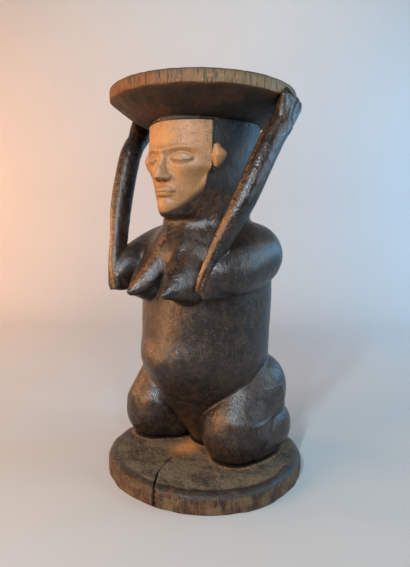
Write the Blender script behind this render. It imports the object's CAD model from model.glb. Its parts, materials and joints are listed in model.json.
"""A stool carved from one log: a kneeling figure holds a round seat on its head and hands."""

import json
import math
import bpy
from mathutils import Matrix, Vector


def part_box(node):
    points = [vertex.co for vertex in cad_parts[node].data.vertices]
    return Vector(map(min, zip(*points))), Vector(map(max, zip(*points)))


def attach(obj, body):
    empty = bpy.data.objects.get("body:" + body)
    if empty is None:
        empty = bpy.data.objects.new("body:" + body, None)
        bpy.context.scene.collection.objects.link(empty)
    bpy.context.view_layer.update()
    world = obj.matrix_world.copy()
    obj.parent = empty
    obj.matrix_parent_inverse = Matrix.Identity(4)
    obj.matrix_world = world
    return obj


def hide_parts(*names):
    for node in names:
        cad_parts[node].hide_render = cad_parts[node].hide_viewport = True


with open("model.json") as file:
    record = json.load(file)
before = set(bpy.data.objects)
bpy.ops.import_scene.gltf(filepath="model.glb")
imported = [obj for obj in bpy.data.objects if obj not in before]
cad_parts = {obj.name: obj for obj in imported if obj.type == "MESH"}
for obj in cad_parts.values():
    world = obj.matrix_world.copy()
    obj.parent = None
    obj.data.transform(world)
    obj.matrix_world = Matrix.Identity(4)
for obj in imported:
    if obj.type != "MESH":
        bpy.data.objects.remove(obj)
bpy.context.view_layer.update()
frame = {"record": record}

from types import SimpleNamespace

import bpy
import numpy as np
import openvdb as vdb
from bpy.props import FloatProperty, FloatVectorProperty, PointerProperty
from bpy.types import Operator, Panel, PropertyGroup
from mathutils import Matrix, Vector

bl_info = {
    "name": "Carved Figure Stool",
    "version": (1, 0, 0),
    "blender": (4, 5, 0),
    "location": "View3D > Sidebar > Stool",
    "description": "Carves the figure, the base and the seat of a stool and finishes their wood",
    "category": "Add Mesh",
}

MM = 0.001
UP = (0, 0, 1)


def length(name, description, default, **limits):
    """A size property, in metres."""
    return FloatProperty(name=name, description=description, default=default, unit="LENGTH", **limits)


def tone(name, description, default):
    """A colour property."""
    return FloatVectorProperty(
        name=name, description=description, default=default, subtype="COLOR", size=3, min=0, max=1
    )


def power(name, description, default):
    """A light's power, in watts."""
    return FloatProperty(name=name, description=description, default=default, unit="POWER")


def node_size(name):
    """Centre, half width and lowest and highest point of a node of the frame, in millimetres."""
    low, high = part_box(name)
    middle = (low + high) / 2
    return SimpleNamespace(
        x=middle.x / MM, y=middle.y / MM, r=(high.x - low.x) / 2 / MM, low=low.z / MM, high=high.z / MM
    )


BASE = node_size("base")
SEAT = node_size("seat")
BOWL = node_size("seat_underside")


class FigureSizes(PropertyGroup):
    """Sizes of the figure, as the carver would mark them on the log"""

    middle_x: length("Middle, across", "The figure's middle line, across the base", -0.005)
    middle_y: length("Middle, front to back", "The figure's middle line, front to back", 0.002)
    legs_x: length("Legs' shift", "How far the legs stand off the middle line", -0.011)
    torso_w: length("Torso's half width", "Half the width of the torso", 0.087, min=0.08, max=0.094)
    torso_back: length("Back", "Depth of the torso behind its middle line", 0.084)
    belly_out: length("Belly", "How far the belly stands out in front", 0.1)
    navel_z: length("Navel's height", "Height where the belly is fullest", 0.151)
    chest_out: length("Chest", "How far the chest stands out in front", 0.087)
    shoulder_z: length("Shoulders' height", "Height of the top of the shoulders", 0.336)
    neck_r: length("Neck's radius", "Radius of the neck", 0.057)
    head_w: length("Head's half width", "Half the width of the head", 0.071)
    head_front: length("Head's front", "Reach of the head in front of the middle line", 0.09)
    head_back: length("Head's back", "Reach of the head behind the middle line", 0.08)
    chin_z: length("Chin's height", "Height of the chin", 0.348)
    nape_z: length("Nape's height", "Height where the neck meets the head", 0.374)
    temple_y: length("Temple", "How far forward the face meets the hair", 0.057)
    nose_h: length("Nose", "How far the nose stands out", 0.013)
    breast_out: length("Breasts' reach", "Reach of the tips in front of the middle line", 0.118)
    breast_x: length("Breasts' place", "Distance of a tip from the middle plane", 0.0285)
    breast_z: length("Breasts' height", "Height of the tips", 0.248)
    breast_r: length("Breasts' radius", "Radius of a breast at its fullest", 0.027)
    shoulder_r: length("Shoulder's radius", "Radius of a shoulder", 0.043)
    elbow_x: length("Elbow, across", "Distance of an elbow from the middle plane", 0.073)
    elbow_out: length("Elbow's reach", "Reach of the elbows in front", 0.099)
    elbow_z: length("Elbow's height", "Height of the elbows", 0.252)
    upper_arm_r: length("Upper arm", "Half the thickness of an upper arm", 0.033)
    forearm_r: length("Forearm", "Half the thickness of a forearm", 0.0135)
    forearm_x: length("Forearm's bow", "How far the forearms bow outwards", 0.101)
    hand_x: length("Hand, across", "Distance of a hand from the middle plane", 0.112)
    hand_w: length("Hand's half width", "Half the width of a hand across its fingers", 0.018)
    knee_x: length("Knee, across", "Distance of a knee from the legs' middle", 0.071)
    knee_out: length("Knee's reach", "Reach of the knees in front", 0.017)
    knee_r: length("Knee's radius", "Radius of a knee", 0.045)
    hip_x: length("Hip, across", "Distance of a hip from the legs' middle", 0.068)
    hip_top_z: length("Hips' height", "Height of the top of the thighs", 0.16)
    calf_r: length("Lower leg", "Radius of a folded lower leg", 0.029)
    foot_back: length("Feet's reach", "Reach of the feet behind", 0.112)


def millimetres(group):
    """A property group's sizes in millimetres, as plain numbers."""
    return SimpleNamespace(**{key: getattr(group, key) / MM for key in group.__annotations__})


# Smooth curves, skins and forms. Stations are in millimetres, and forms come out in metres.


def along(stations, u):
    """Points of a smooth curve through the stations, for each u from 0 to 1."""
    s = np.asarray(stations, float)
    last = len(s) - 1
    u = np.asarray(u, float)
    i = np.clip((u * last).astype(int), 0, last - 1)
    t = (u * last - i)[:, None]
    a, b, c, d = s[np.maximum(i - 1, 0)], s[i], s[i + 1], s[np.minimum(i + 2, last)]
    return 0.5 * (2 * b + (c - a) * t + (2 * a - 5 * b + 4 * c - d) * t * t + (3 * b - a - 3 * c + d) * t**3)


def full_turn(count):
    """Evenly spaced angles of one turn."""
    return np.linspace(0, 2 * np.pi, count, endpoint=False)


def bulge(x, p):
    """Rounds x, a cosine or a sine, towards a squarer outline as p grows past 2."""
    return np.sign(x) * np.abs(x) ** (2 / p)


def unit(v):
    """Vectors of length 1 in the same directions."""
    return v / np.maximum(np.linalg.norm(v, axis=-1, keepdims=True), 1e-12)


def skin(rings):
    """Closed surface over rings of equally many points: points, quads and end triangles."""
    rings = np.asarray(rings, float)
    m, n = rings.shape[:2]
    i, j = np.meshgrid(np.arange(m - 1), np.arange(n), indexing="ij")
    k = (j + 1) % n
    quads = np.stack([i * n + j, i * n + k, (i + 1) * n + k, (i + 1) * n + j], -1).reshape(-1, 4)
    points = np.concatenate([rings.reshape(-1, 3), [rings[0].mean(0)], [rings[-1].mean(0)]]) * MM
    a = np.arange(n)
    b = (a + 1) % n
    first = np.stack([np.full(n, m * n), b, a], -1)
    final = np.stack([np.full(n, m * n + 1), (m - 1) * n + a, (m - 1) * n + b], -1)
    return points, quads, np.concatenate([first, final])


def upright(stations, rings=140, sides=128):
    """Upright form. A station is [z, x, y, half width, front, back, front roundness, back roundness]."""
    s = along(stations, np.linspace(0, 1, rings))[:, :, None]
    a = full_turn(sides)[None]
    cos, sin = np.cos(a), np.sin(a)
    front = sin < 0
    p = np.where(front, s[:, 6], s[:, 7])
    depth = np.where(front, s[:, 4], s[:, 5])
    x = s[:, 1] + s[:, 3] * bulge(cos, p)
    y = s[:, 2] + depth * bulge(sin, p)
    return skin(np.stack([x, y, s[:, 0] + 0 * a], -1))


def standing(stations, rings=90, sides=96):
    """Form along the front to back line. A station is
    [y, x, z, half width, below, above, roundness below, roundness above]."""
    points, quads, tris = upright(stations, rings, sides)
    return points[:, [0, 2, 1]], quads[:, ::-1], tris[:, ::-1]


def ball(x, y, z, rx, ry, rz, roundness=2, rings=60, sides=72):
    """A ball or egg; a roundness above 2 makes it fuller."""
    t = np.linspace(-np.pi / 2, np.pi / 2, rings + 2)[1:-1, None]
    a = full_turn(sides)[None]
    wide = bulge(np.cos(t), roundness)
    ring = [x + rx * wide * bulge(np.cos(a), roundness), y + ry * wide * bulge(np.sin(a), roundness)]
    return skin(np.stack([*ring, z + rz * bulge(np.sin(t), roundness) + 0 * a], -1))


def round_end(station, direction, reach, angles):
    """Stations that round off a limb, from its last station and its direction outwards."""
    return [
        np.r_[station[:3] + direction * reach * math.sin(a), station[3:5] * math.cos(a), station[5:]]
        for a in angles
    ]


def limb(stations, up, dome_start=0, dome_end=0, rings=90, sides=72, floor_z=None):
    """Limb along a curve. A station is [x, y, z, half width, half depth, roundness, roundness on top].
    The half depth lies along the direction up, which is kept square to the limb."""
    stations = [list(s) + [s[5]] * (7 - len(s)) for s in stations]
    u = np.linspace(0, 1, rings)
    s = along(stations, u)
    ahead = along(stations, np.minimum(u + 0.01, 1))[:, :3]
    behind = along(stations, np.maximum(u - 0.01, 0))[:, :3]
    t = unit(ahead - behind)
    ends = np.radians(np.arange(85, 4, -10))
    if dome_start:
        s = np.concatenate([round_end(s[0], -t[0], dome_start, ends), s])
        t = np.concatenate([np.repeat(t[:1], len(ends), 0), t])
    if dome_end:
        s = np.concatenate([s, round_end(s[-1], t[-1], dome_end, ends[::-1])])
        t = np.concatenate([t, np.repeat(t[-1:], len(ends), 0)])
    v = np.asarray(up, float)[None]
    v = unit(v - t * (v * t).sum(1, keepdims=True))
    w = np.cross(v, t)
    a = full_turn(sides)[None]
    p = np.where(np.sin(a) > 0, s[:, 6:7], s[:, 5:6])
    across = (s[:, 3:4] * bulge(np.cos(a), p))[..., None]
    outwards = (s[:, 4:5] * bulge(np.sin(a), p))[..., None]
    rings_of_points = s[:, None, :3] + w[:, None] * across + v[:, None] * outwards
    if floor_z is not None:
        rings_of_points[..., 2] = np.maximum(rings_of_points[..., 2], floor_z)
    return skin(rings_of_points)


def slab(outline, half_width):
    """Outline of [y, z] points, drawn out to both sides along x."""
    y, z = np.asarray(outline, float).T
    return skin([np.stack([np.full_like(y, x), y, z], -1) for x in (-half_width, half_width)])


def moved(form, x, y):
    """A form, moved over the floor."""
    points, quads, tris = form
    return points + np.array([x, y, 0]) * MM, quads, tris


def melt(a, b, soft):
    """The nearer of two distances, with the crease between them filled over the width soft."""
    h = np.clip(0.5 + 0.5 * (b - a) / soft, 0, 1)
    return b + (a - b) * h - soft * h * (1 - h)


def ramp(x, low, high):
    """Rises smoothly from 0 at low to 1 at high."""
    t = np.clip((x - low) / (high - low), 0, 1)
    return t * t * (3 - 2 * t)


def hill(x, middle, width):
    """A soft hill of height 1."""
    return np.exp(-(((x - middle) / width) ** 2))


class Clay:
    """A block of signed distances on an even grid, which forms are added to and cut from."""

    def __init__(self, low, high, step, reach):
        """An empty block between two corners, which knows distances up to reach. All are in millimetres."""
        self.low = np.asarray(low, float) * MM
        self.step = step * MM
        self.cells = int(math.ceil(reach / step))
        self.reach = self.cells * self.step
        size = np.ceil((np.asarray(high, float) * MM - self.low) / self.step).astype(int) + 1
        self.distance = np.full(size, self.reach, np.float32)
        self.parts = {}

    def measure(self, form):
        """Signed distances of a form, in the window of the block that it reaches."""
        points, quads, tris = form
        local = (points - self.low) / self.step
        first = np.clip(np.floor(local.min(0)).astype(int) - self.cells, 0, None)
        last = np.minimum(np.ceil(local.max(0)).astype(int) + self.cells + 1, self.distance.shape)
        grid = vdb.FloatGrid.createLevelSetFromPolygons(
            local.astype(np.float32), quads=quads.astype(np.uint32), triangles=tris.astype(np.uint32),
            transform=vdb.createLinearTransform(voxelSize=1.0), halfWidth=self.cells,
        )
        window = np.zeros(tuple(last - first), np.float32)
        grid.copyToArray(window, ijk=tuple(int(v) for v in first))
        return tuple(slice(a, b) for a, b in zip(first, last)), window * self.step

    def heights(self, window):
        """Heights of a window's cells, in millimetres, ready to spread over the window."""
        z = self.low[2] + np.arange(window[2].start, window[2].stop) * self.step
        return (z / MM)[None, None, :]

    def add(self, name, form, soft=2.0):
        """Adds a form as a named part."""
        self.put(name, *self.measure(form), soft)

    def add_melted(self, name, forms, inner, soft):
        """Adds several forms that first melt into one."""
        measured = [self.measure(form) for form in forms]
        first = np.min([[side.start for side in window] for window, _ in measured], 0)
        last = np.max([[side.stop for side in window] for window, _ in measured], 0)
        whole = np.full(last - first, self.reach, np.float32)
        for window, own in measured:
            part = tuple(slice(side.start - f, side.stop - f) for side, f in zip(window, first))
            whole[part] = melt(whole[part], own, inner * MM)
        self.put(name, tuple(slice(f, e) for f, e in zip(first, last)), whole, soft)

    def put(self, name, window, own, soft):
        """Joins measured distances to the block. The crease's width soft may depend on the height."""
        width = soft(self.heights(window)).astype(np.float32) if callable(soft) else soft
        self.distance[window] = melt(self.distance[window], own, width * MM)
        self.parts[name] = (window, own)

    def carve(self, form, soft=1.0):
        """Cuts a form out."""
        window, own = self.measure(form)
        self.distance[window] = -melt(-self.distance[window], own, soft * MM)

    def surface(self):
        """Points and quads of the surface, facing outwards."""
        grid = vdb.FloatGrid(self.reach)
        grid.copyFromArray(self.distance)
        points, quads = grid.convertToQuads(0.0)
        return points.astype(float) * self.step + self.low, quads[:, ::-1].astype(np.int64)

    def read(self, points, block=None, window=None):
        """Distances at points, between the cells of the block or of one window of it."""
        block = self.distance if block is None else block
        start = np.array([0, 0, 0] if window is None else [side.start for side in window])
        p = (points - self.low) / self.step - start
        top = np.array(block.shape) - 1.001
        inside = ((p >= 0) & (p <= top)).all(1)
        q = np.clip(p, 0, top)
        i = q.astype(int)
        f = (q - i).astype(np.float32)
        value = np.zeros(len(points), np.float32)
        for dx in (0, 1):
            for dy in (0, 1):
                for dz in (0, 1):
                    share = np.abs(1 - dx - f[:, 0]) * np.abs(1 - dy - f[:, 1]) * np.abs(1 - dz - f[:, 2])
                    value += share * block[i[:, 0] + dx, i[:, 1] + dy, i[:, 2] + dz]
        return np.where(inside, value, self.reach)


class Surface:
    """Points and quads of a surface, with what the tools do to it and what the finish reads from it."""

    def __init__(self, points, faces):
        self.points = points
        self.faces = faces

    def edges(self):
        """Each quad's edges, as pairs of point numbers."""
        following = np.roll(self.faces, -1, axis=1)
        return np.stack([self.faces.ravel(), following.ravel()], -1)

    def normals(self):
        """Directions outwards at the points, from the quads round each."""
        p = self.points[self.faces]
        face_normals = np.cross(p[:, 2] - p[:, 0], p[:, 3] - p[:, 1]) / 2
        total = np.zeros((len(self.points), 3))
        for corner in self.faces.T:
            for k in range(3):
                total[:, k] += np.bincount(corner, face_normals[:, k], len(self.points))
        return unit(total)

    def smoothed(self, values, times):
        """Values at the points, averaged over the neighbours again and again."""
        a, b = self.edges().T
        count = np.maximum(np.bincount(a, minlength=len(self.points)), 1)[:, None]
        for _ in range(times):
            sums = [np.bincount(a, values[b, k], len(self.points)) for k in range(values.shape[1])]
            values = 0.5 * values + 0.5 * np.stack(sums, -1) / count
        return values

    def ridges(self, times):
        """How far each point stands out from its smoothed place, in millimetres: edges are above 0."""
        return ((self.points - self.smoothed(self.points, times)) * self.normals()).sum(1) / MM


def tool_marks(points, normals, where, count, long, wide, deep, seed, axis=UP):
    """Depth of shallow overlapping gouge marks at each point, in millimetres. The marks start at points
    that where chooses, follow the axis, lean a little and differ in size."""
    rng = np.random.default_rng(seed)
    pool = np.flatnonzero(where)
    seeds = rng.choice(pool, min(count, len(pool)), replace=False)
    order = np.argsort(points[:, 2], kind="stable")
    heights = points[order, 2]
    cut = np.zeros(len(points))
    axis = np.asarray(axis, float)
    for k in seeds:
        centre, n = points[k], normals[k]
        lean = axis + rng.normal(0, 0.25, 3)
        u = unit(lean - n * (lean @ n))
        w = np.cross(n, u)
        a = long * rng.uniform(0.7, 1.3) * MM
        b = wide * rng.uniform(0.7, 1.3) * MM
        depth = deep * rng.uniform(0.4, 1.0)
        first, last = np.searchsorted(heights, [centre[2] - a, centre[2] + a])
        near = order[first:last]
        near = near[(np.abs(points[near] - centre) < a).all(1)]
        q = points[near] - centre
        hollow = depth * (1 - (q @ u / a) ** 2 - (q @ w / b) ** 2)
        hollow[normals[near] @ n < 0.3] = 0
        cut[near] = np.maximum(cut[near], hollow)
    return cut


# Cut lines, rubbed places and what the finish reads


PATH_SPOTS = 12  # spots laid on the surface for each station of a path
PATH_SEARCH = 25  # how far off the surface a path may pass, in millimetres
POINTS_AT_ONCE = 4000


def distance_to_path(points, path, reach):
    """Distance in millimetres of each point from a path laid on the surface, and its share of the path."""
    spots = along(path, np.linspace(0, 1, PATH_SPOTS * len(path)))
    p = points / MM
    near = np.flatnonzero(((p > spots.min(0) - PATH_SEARCH) & (p < spots.max(0) + PATH_SEARCH)).all(1))
    distance = np.full(len(points), np.inf)
    share = np.zeros(len(points))
    if not len(near):
        return distance, share
    spots = np.array([p[near[((p[near] - spot) ** 2).sum(1).argmin()]] for spot in spots])
    spots = (spots + np.roll(spots, 1, 0) + np.roll(spots, -1, 0))[1:-1] / 3
    near = near[((p[near] > spots.min(0) - reach) & (p[near] < spots.max(0) + reach)).all(1)]
    for first in range(0, len(near), POINTS_AT_ONCE):
        part = near[first: first + POINTS_AT_ONCE]
        d = np.linalg.norm(p[part, None] - spots[None], axis=2)
        distance[part] = d.min(1)
        share[part] = d.argmin(1) / (len(spots) - 1)
    return distance, share


def groove(surface, path, width, depth, lip):
    """Presses a groove with a raised lip into the surface along a path. It fades out at both ends."""
    distance, share = distance_to_path(surface.points, path, 4 * width)
    ends = ramp(share, 0, 0.08) * ramp(share, 1, 0.8)
    height = lip * hill(distance, 1.8 * width, width) - depth * hill(distance, 0, width)
    surface.points += surface.normals() * (height * ends * MM)[:, None]


def wear(points, lines, place):
    """Rubbed places: the strongest of soft strokes along lines, each a width, a strength and a path."""
    total = np.zeros(len(points))
    for width, strength, path in lines:
        distance, share = distance_to_path(points, np.array(path) + place, 3 * width)
        ends = ramp(share, -0.04, 0.04) * ramp(share, 1.04, 0.9)
        total = np.maximum(total, strength * ends * hill(distance, 0, width))
    return total


def part_distance(clay, name, points):
    """Distance in millimetres of each point from one part's own form."""
    window, own = clay.parts[name]
    return clay.read(points, own, window) / MM


def closeness(clay, points, normals, reaches=(2.5, 5, 9)):
    """How much of the space in front of each point is closed in by other wood, from 0 to 1."""
    total = np.zeros(len(points))
    for reach in reaches:
        d = clay.read(points + normals * (reach * MM)) / MM
        total += np.clip((reach - d) / reach, 0, 1)
    return total / len(reaches)


# The figure's forms, from its sizes s in millimetres. They stand about its own middle line.

LEFT, RIGHT = 1, -1
SIDES = {"left": LEFT, "right": RIGHT}
FLOOR = BASE.high - 2  # the figure's forms reach down to here, a little way into the base


def torso_form(s):
    """Trunk and lap, with a belly that runs to a point in front."""
    return upright([
        [FLOOR, 0, 34, 34, 34, 40, 2, 2],
        [BASE.high + 30, 0, 22, 50, 52, 64, 1.5, 2.3],
        [s.navel_z - 50, 0, 8, s.torso_w - 12, 72, s.torso_back + 4, 1.5, 2.4],
        [s.navel_z, 0, 0, s.torso_w - 1, s.belly_out, s.torso_back, 1.62, 2.2],
        [s.navel_z + 40, 0, 0, s.torso_w, s.belly_out - 8, s.torso_back, 1.8, 2.2],
        [s.breast_z, 0, 0, s.torso_w + 1, s.chest_out - 4, s.torso_back + 3, 2, 2.2],
        [s.shoulder_z - 40, 0, 0, s.torso_w - 4, s.chest_out - 8, s.torso_back - 2, 2.1, 2.2],
        [s.shoulder_z, 0, 0, s.neck_r - 3, s.neck_r - 2, s.neck_r - 3, 2.1, 2.1],
    ])


def neck_form(s):
    """Wide neck, from inside the chest up into the head."""
    return upright([
        [s.shoulder_z - 34, 0, 0, s.neck_r + 1, s.neck_r + 5, s.neck_r + 2, 2, 2],
        [s.shoulder_z - 8, 0, 0, s.neck_r, s.neck_r + 3, s.neck_r, 2, 2],
        [s.chin_z, 0, 0, s.neck_r + 1, s.neck_r + 3, s.neck_r + 3, 2, 2],
        [s.nape_z, 0, 0, s.head_w - 12, s.neck_r + 9, s.head_back - 15, 2, 2],
    ])


HEAD_ROUND = 1.85  # roundness of the head's front half, seen from above
JAW_STEP = 16  # how much further back the face reaches at the jaw than at the temples


def head_form(s):
    """Hair and back of the head, up into the bowl of the seat."""
    top = BOWL.low
    return upright([
        [s.nape_z - 30, 0, 0, s.neck_r - 5, s.neck_r - 3, s.neck_r - 3, 2, 2],
        [s.nape_z - 12, 0, 0, s.neck_r + 3, s.neck_r + 5, s.neck_r + 5, 2, 2],
        [s.nape_z + 4, 0, 0, s.head_w - 5, s.neck_r + 16, s.head_back - 8, 2, 2],
        [s.nape_z + 24, 0, 0, s.head_w - 2, s.head_front - 8, s.head_back - 4, HEAD_ROUND, 2],
        [top - 30, 0, 0, s.head_w, s.head_front - 3, s.head_back - 7, HEAD_ROUND, 2],
        [top + 12, 0, 0, s.head_w - 3, s.head_front - 7, s.head_back - 10, HEAD_ROUND, 2],
    ])


def face_heights(s):
    """Hairline and the jaw's corner, from the head's own sizes."""
    hairline = BOWL.low - 4
    return hairline, s.chin_z + 0.55 * (hairline - s.chin_z)


def face_hollow(s):
    """The face's place in the head: in front of the temples and above the jaw."""
    hairline, jaw = face_heights(s)
    chin_back = s.temple_y + 8
    return slab([
        [-s.temple_y, hairline], [-s.temple_y, jaw], [-chin_back, s.chin_z], [-chin_back, s.chin_z - 14],
        [-2 * s.head_front, s.chin_z - 14], [-2 * s.head_front, hairline],
    ], 2 * s.head_w)


def dome(x, z, x0, z0, half_x, half_z, power=0.6):
    """A round hill of height 1 with a clear edge."""
    return np.clip(1 - ((x - x0) / half_x) ** 2 - ((z - z0) / half_z) ** 2, 0, 1) ** power


def face_relief(x, h, nose_h):
    """The carved features' main forms: h is the height from the chin, 0, to the hairline, 1.
    Brow, foot of the nose and chin stand a third apart, and an eye is a fifth of the face's width."""
    third = 1 / 3
    side = np.abs(x)
    arch = 0.668 + 0.03 * hill(side, 25, 16)
    brow = 2.6 * hill(h, arch, 0.035) * ramp(side, 47, 32)
    socket = 3.0 * dome(side, h, 23, 0.585, 19, 0.1, 1.2)
    eye = 4.6 * dome(side, h, 23.5, 0.572, 12.5, 0.062, 0.55)
    slope = ramp(h, 0.66, 0.37)
    wide = 4.2 + 3.2 * ramp(h, 0.55, 0.36)
    tip = ramp(h, third - 0.005, third + 0.025)
    bridge = nose_h * (0.25 + 0.75 * slope) * ramp(h, 0.74, 0.64) * tip
    nose = bridge * np.clip(1 - (x / wide / 1.35) ** 2, 0, 1) ** 0.7
    wing = 0.5 * nose_h * dome(side, h, 7.8, third + 0.035, 5.2, 0.036)
    lip_over = 4.2 * dome(x, h, 0, 0.236, 16.5, 0.036) - 1.2 * hill(x, 0, 2.2) * hill(h, 0.255, 0.02)
    lip_under = 4.4 * dome(x, h, 0, 0.183, 14, 0.034)
    groove_over = 1.0 * hill(x, 0, 2.4) * hill(h, 0.295, 0.025)
    mouth = 1.8 * hill(h, 0.21, 0.1) * hill(x, 0, 17)
    chin = 3.6 * dome(x, h, 0, 0.055, 19, 0.085, 1.0)
    cheek = 2.2 * dome(side, h, 31, 0.41, 16, 0.13, 1.2)
    forms = brow - socket + eye + np.maximum(nose, wing) + np.maximum(lip_over, lip_under)
    return forms - groove_over + mouth + chin + cheek


# A line of the face is its width, depth and darkness, and then half of the line as points: millimetres
# to the side and a share of the face's height.
FACE_LINES = (
    (0.8, 1.0, 1, ((12.5, 0.567), (18, 0.553), (24, 0.549), (30, 0.555), (35, 0.568))),
    (0.9, 0.5, 0.25, ((12.5, 0.592), (18, 0.618), (24, 0.625), (30, 0.612), (36, 0.588))),
    (0.8, 1.3, 0.9, ((-1, 0.211), (4, 0.214), (9, 0.209), (15, 0.213))),
    (1.3, 1.6, 1, ((3.6, 0.337), (6.4, 0.34))),
    (0.9, 0.5, 0.3, ((10.5, 0.41), (13.6, 0.375), (14.5, 0.34))),
)


def own_place(s, points):
    """Points' places in millimetres from the figure's own middle line: across, in depth and height."""
    return (points / MM - [s.middle_x, s.middle_y, 0]).T


def face_lines(s, points):
    """Depth of the fine lines of lids, mouth and nose, and how dark each leaves the wood."""
    hairline, _ = face_heights(s)
    x, y, z = own_place(s, points)
    tall = hairline - s.chin_z
    cut = np.zeros(len(points))
    dark = np.zeros(len(points))
    for width, depth, darkness, path in FACE_LINES:
        spots = along([[px, s.chin_z + h * tall] for px, h in path], np.linspace(0, 1, 60))
        near = np.flatnonzero((y < -s.temple_y) & (np.abs(z - spots[:, 1].mean()) < 12))
        d = np.hypot(np.abs(x[near])[:, None] - spots[:, 0], z[near][:, None] - spots[:, 1]).min(1)
        amount = hill(d, 0, width)
        cut[near] = np.maximum(cut[near], depth * amount)
        dark[near] = np.maximum(dark[near], darkness * amount)
    return cut, dark


def face_mask(s, points):
    """How much of each point is the pale face: crisp at hair and temple, soft along the jaw."""
    hairline, jaw = face_heights(s)
    x, y, z = own_place(s, points)
    back = ramp(y, -s.temple_y - 0.4, -s.temple_y - 1.4)
    over = ramp(z, hairline - 0.2, hairline - 1.2)
    share = np.clip((y + s.head_front) / (s.head_front - s.temple_y), 0, 1)
    jaw_line = s.chin_z - 3 + (jaw - s.chin_z - 26) * share**1.5
    under = ramp(z, jaw_line - 2 - 5 * share, jaw_line + 2 + 7 * share)
    beside = ramp(np.abs(x), s.head_w + 1, s.head_w)
    return back * over * under * beside


def head_side(s, y):
    """Half width of the head at a distance y in front of its middle line."""
    return s.head_w * (1 - (y / s.head_front) ** HEAD_ROUND) ** (1 / HEAD_ROUND)


def face_width(s, h):
    """The face's half width for heights from the chin, 0, to the hairline, 1: an oval."""
    return head_side(s, s.temple_y) * (1 - 0.34 * np.clip(1 - h / 0.5, 0, 1) ** 2)


def face_form(s, rows=180, columns=200):
    """The face in front of its cut back, with a chin that rounds off below."""
    hairline, _ = face_heights(s)
    h = np.linspace(0, 1, rows)[:, None]
    z = s.chin_z + h * (hairline - s.chin_z)
    width = face_width(s, h)
    front = s.head_front - 1 - 3 * (1 - h) ** 2 - 4 * h**4
    back = s.temple_y - JAW_STEP * ramp(h, 0.5, 0.36)
    a = np.linspace(np.pi, 0, columns)[None]
    x = width * np.cos(a)
    ratio = head_side(s, s.temple_y) / s.head_w
    start = s.temple_y / s.head_front
    round_part = ((1 - (ratio * np.abs(np.cos(a))) ** HEAD_ROUND) ** (1 / HEAD_ROUND) - start) / (1 - start)
    relief = face_relief(x, h, s.nose_h) * ramp(np.sin(a), 0, 0.35)
    y = -back - (front - back) * np.clip(round_part, 0, 1) - relief
    rings = np.stack([x, y, z + 0 * a], -1)
    inner = np.stack([width * 0.9 * np.cos(a[:, ::-1]), 20 - back + 0 * a, z + 0 * a], -1)
    rings = np.concatenate([rings, inner], 1)
    middle = np.array([0, -s.temple_y])
    chin = []
    for under in np.radians(np.arange(80, 5, -10)):
        ring = rings[0].copy()
        ring[:, :2] = middle + (ring[:, :2] - middle) * (0.72 + 0.28 * math.cos(under))
        ring[:, 2] -= 7 * math.sin(under)
        chin.append(ring)
    return skin(np.concatenate([chin, rings]))


def ear_form(s, side):
    """A small lozenge with its point turned outwards and back."""
    _, jaw = face_heights(s)
    y = -s.temple_y + 5
    x = side * (head_side(s, -y) - 2)
    middle = jaw + 6
    return limb([
        [x, y, middle - 13, 3, 2, 2],
        [x + 1.5 * side, y + 1, middle - 6, 7, 6, 1.6],
        [x + 2 * side, y + 2, middle + 1, 9.5, 9.5, 1.5],
        [x + 1.5 * side, y + 1, middle + 7, 7, 6, 1.6],
        [x, y, middle + 14, 3, 2, 2],
    ], (side, 0.35, 0))


# Along the ridge: share of the way to the tip, half width and half depth as shares of the radius.
RIDGE = ((0, 0.3, 0.3), (0.3, 0.5, 0.42), (0.6, 0.66, 0.5), (0.85, 0.42, 0.34), (1, 0.1, 0.1))
# Behind the tip: distance, half width, depth below and height above.
WEDGE = (
    (0, 1.3, 1.2, 1.3), (2, 2.8, 2.4, 2.8), (7, 6.2, 5.4, 7), (14, 11, 10, 13),
    (24, 17.5, 17, 22), (38, 25, 26, 32), (56, 26, 34, 44),
)


def breast_forms(s, side):
    """A ridge that runs straight from the foot of the neck to the tip, and a pointed wedge under it."""
    top = np.array([side * 9, -s.neck_r, s.shoulder_z - 6])
    tip = np.array([side * s.breast_x, -s.breast_out, s.breast_z])
    out = unit(np.array([0, tip[2] - top[2], top[1] - tip[1]]))
    ridge = []
    for share, half, depth in RIDGE:
        spot = top + (tip - top) * share - out * s.breast_r * depth
        ridge.append([*spot, s.breast_r * half, s.breast_r * depth, 2, 1.6])
    wedge = []
    for back, half, below, above in WEDGE:
        middle = s.breast_z + 0.3 * back
        x = side * (s.breast_x + 3 * math.sin(min(back / 38, 1) * math.pi / 2))
        wedge.append([back - s.breast_out, x, middle, half, below, above, 2.1, 1.8])
    return limb(ridge, out, dome_start=4), standing(wedge)


def upper_arm_forms(s, side):
    """Shoulder and upper arm, and the point of the elbow, which is cut flat below."""
    arm = limb([
        [side * 40, 16, s.shoulder_z - 40, s.shoulder_r * 0.9, s.shoulder_r * 0.88, 2],
        [side * 66, 6, s.shoulder_z - 42, s.shoulder_r, s.shoulder_r * 0.97, 2],
        [side * 78, -34, s.shoulder_z - 54, s.upper_arm_r, s.upper_arm_r + 3, 2],
        [side * 77, -70, s.elbow_z + 20, s.upper_arm_r * 0.72, s.upper_arm_r * 0.82, 2],
        [side * s.elbow_x, -s.elbow_out + 10, s.elbow_z + 8, 10, 15, 2],
    ], UP, dome_end=6)
    elbow = limb([
        [side * (s.elbow_x + 2), -s.elbow_out + 34, s.elbow_z + 12, 14, 21, 2.4],
        [side * s.elbow_x, -s.elbow_out + 12, s.elbow_z + 6, 8, 14, 2.6],
        [side * (s.elbow_x - 2), -s.elbow_out + 2, s.elbow_z + 4, 4, 11, 2.2],
    ], UP, dome_end=2)
    return arm, elbow


def wrist(s, side):
    """The station that a forearm and its hand share. The right wrist stands further forward."""
    forwards = 0 if side == LEFT else 14
    return [side * (s.hand_x + 2), -4 - forwards, SEAT.low - 30, s.forearm_r + 1, s.forearm_r, 2]


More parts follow.
